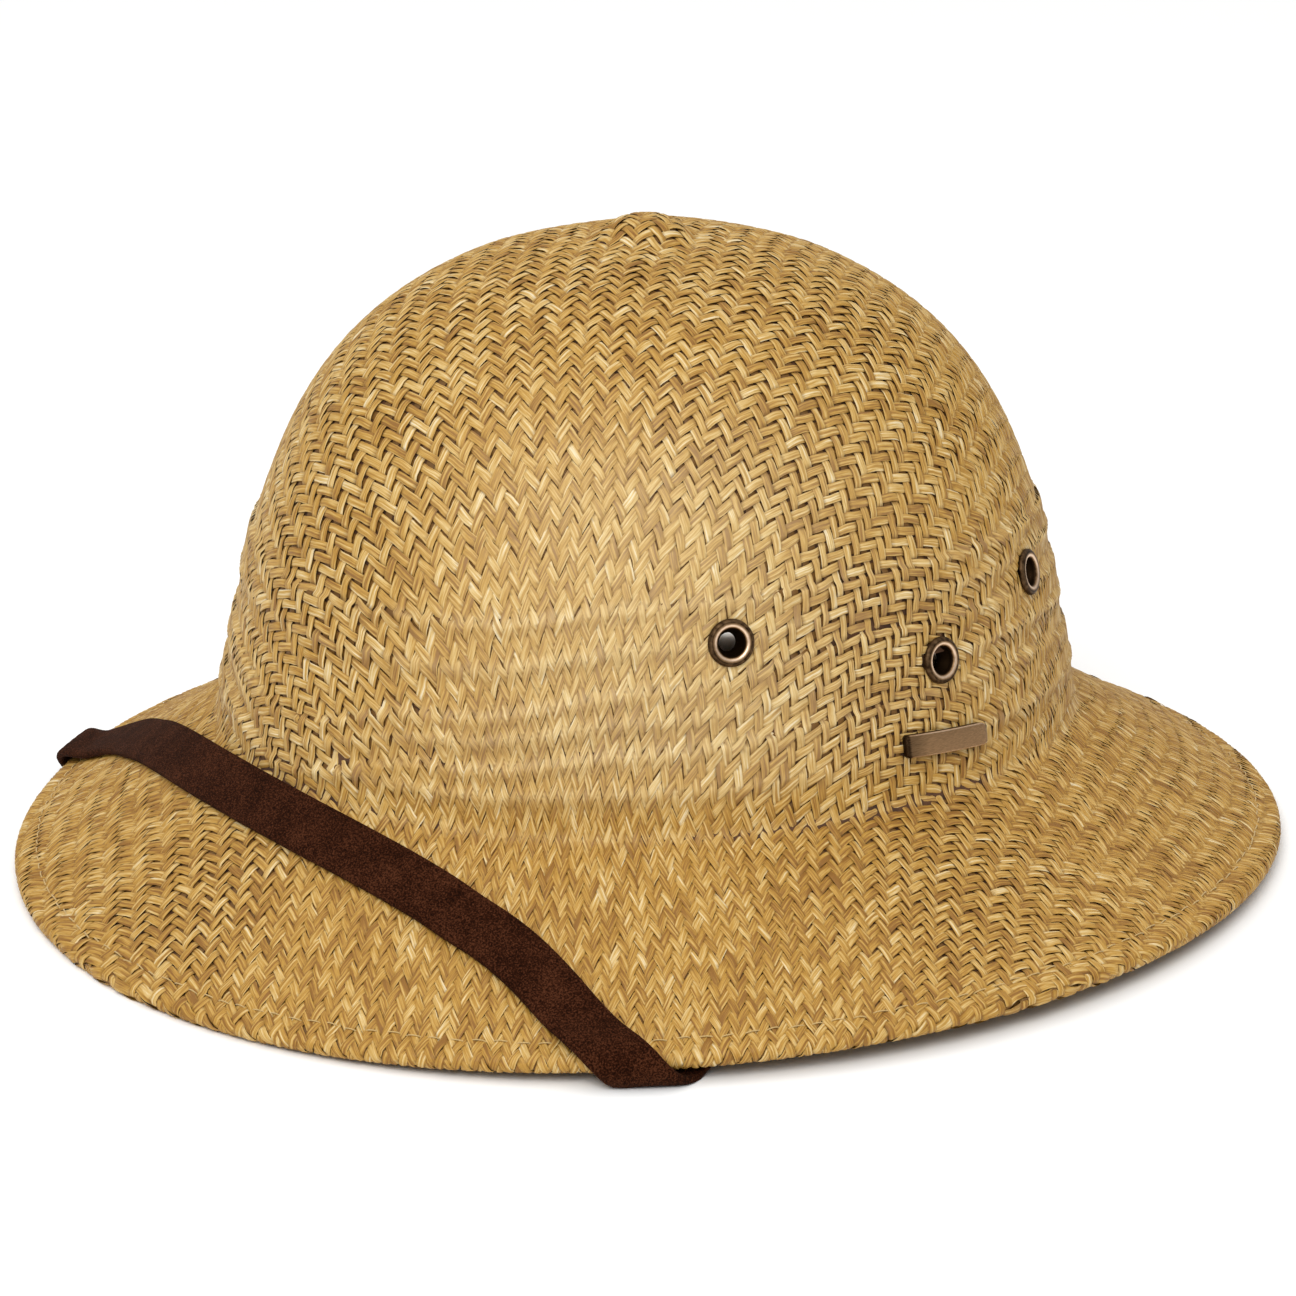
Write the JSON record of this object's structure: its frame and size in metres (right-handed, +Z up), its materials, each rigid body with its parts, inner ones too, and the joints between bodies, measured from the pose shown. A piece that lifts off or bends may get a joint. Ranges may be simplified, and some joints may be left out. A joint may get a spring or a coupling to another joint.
{
  "type": "sun hat",
  "caption": "Moulded straw sun helmet with a domed crown, sloping brim, brass eyelets, a bare brass plate and a suede chin strap over the brim.",
  "frame": {"origin": "middle of the bounding box in plan, on the surface the hat rests on", "axes": "+Z up through the crown, -Y towards the front of the hat, +X towards the wearer's left"},
  "size_m": [0.2996, 0.308, 0.1556],
  "materials": {
    "straw": "woven straw, matt",
    "brass": "antiqued, satin",
    "suede": "suede nap, matt"
  },
  "bodies": {
    "root": {"shell": "straw", "eyelet_left_front": "brass", "eyelet_left_middle": "brass", "eyelet_left_rear": "brass", "eyelet_right_front": "brass", "eyelet_right_middle": "brass", "eyelet_right_rear": "brass", "badge_plate": "brass", "chin_strap": "suede"}
  },
  "joints": []
}
